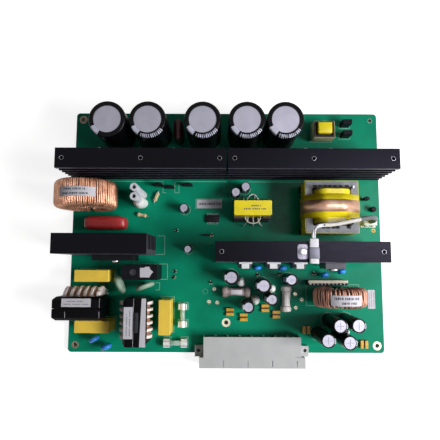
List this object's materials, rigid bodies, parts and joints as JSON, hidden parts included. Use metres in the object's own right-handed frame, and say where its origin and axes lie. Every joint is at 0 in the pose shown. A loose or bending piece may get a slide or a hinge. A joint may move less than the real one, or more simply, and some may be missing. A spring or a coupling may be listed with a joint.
{
  "type": "power supply board",
  "caption": "Open power supply on a green circuit board with black finned heatsinks, wound chokes and transformers, capacitors, fuses and a grey edge connector.",
  "frame": {"origin": "centre of the four corner holes, on the underside of the board", "axes": "+X along the board's long side, +Y away from the edge connector, +Z out of the component side"},
  "size_m": [0.2762, 0.2206, 0.0542],
  "materials": {
    "board": "satin solder mask",
    "tin": "tinned",
    "can_metal": "satin",
    "sleeve_black": "gloss",
    "film_red": "dipped gloss",
    "film_dark": "dipped gloss",
    "box_yellow": "satin",
    "disc_blue": "dipped satin",
    "disc_green": "dipped matte",
    "chip_brown": "satin",
    "chip_gold": "satin",
    "sink_black": "black anodised",
    "package_black": "moulded",
    "clip_white": "satin",
    "ferrite": "matte",
    "core_coated": "coated",
    "core_black": "black coated",
    "copper": "enamelled wire",
    "bobbin_pale": "moulded",
    "bobbin_black": "moulded",
    "tape_yellow": "satin tape",
    "case_black": "satin",
    "glass": "clear",
    "sleeving": "satin",
    "silicone": "satin",
    "plastic_cream": "moulded",
    "plastic_white": "moulded",
    "plastic_grey": "moulded"
  },
  "bodies": {
    "root": {"circuit_board": "board", "solder_joints": "tin", "component_leads": "tin", "fuse_caps": "tin", "fuse_clips": "tin", "sensor_tab": "tin", "device_screws": "tin", "connector_blades": "tin", "bulk_capacitor_cans": "can_metal", "small_capacitor_cans": "can_metal", "bulk_capacitor_sleeves": "sleeve_black", "small_capacitor_sleeves": "sleeve_black", "film_capacitor_large": "film_red", "film_capacitor_small": "film_dark", "box_capacitors": "box_yellow", "disc_capacitors": "disc_blue", "thermistor_discs": "disc_green", "chip_capacitors": "chip_brown", "chip_capacitor_bars": "chip_gold", "left_heatsink": "sink_black", "right_heatsink": "sink_black", "bridge_heatsink": "sink_black", "output_heatsink": "sink_black", "power_transistors": "package_black", "bridge_rectifier": "package_black", "output_rectifiers": "package_black", "chip_packages": "package_black", "rectifier_clips": "clip_white", "main_transformer_core": "ferrite", "aux_transformer_core": "ferrite", "drive_transformer_core": "ferrite", "rod_choke_ends": "ferrite", "input_choke_core": "core_coated", "output_choke_core": "core_coated", "line_choke_cores": "core_black", "input_choke_winding": "copper", "output_choke_winding": "copper", "line_choke_windings": "copper", "main_transformer_band": "copper", "line_choke_bobbins": "bobbin_pale", "main_transformer_bobbin": "bobbin_black", "drive_transformer_base": "bobbin_black", "aux_transformer_bobbin": "bobbin_black", "terminal_strip": "bobbin_black", "main_transformer_coil": "tape_yellow", "main_transformer_tape": "tape_yellow", "drive_transformer_coil": "tape_yellow", "aux_transformer_coil": "tape_yellow", "relay_case": "case_black", "box_modules": "case_black", "fuse_tubes": "glass", "drive_transformer_leads": "sleeving", "sensor_lead": "sleeving", "upright_tubes": "sleeving", "rod_choke_sleeves": "sleeving", "silicone_beads": "silicone", "terminal_strip_cap": "plastic_cream", "sensor_plug": "plastic_cream", "sensor_block": "plastic_white", "connector_shell": "plastic_grey"}
  },
  "joints": []
}
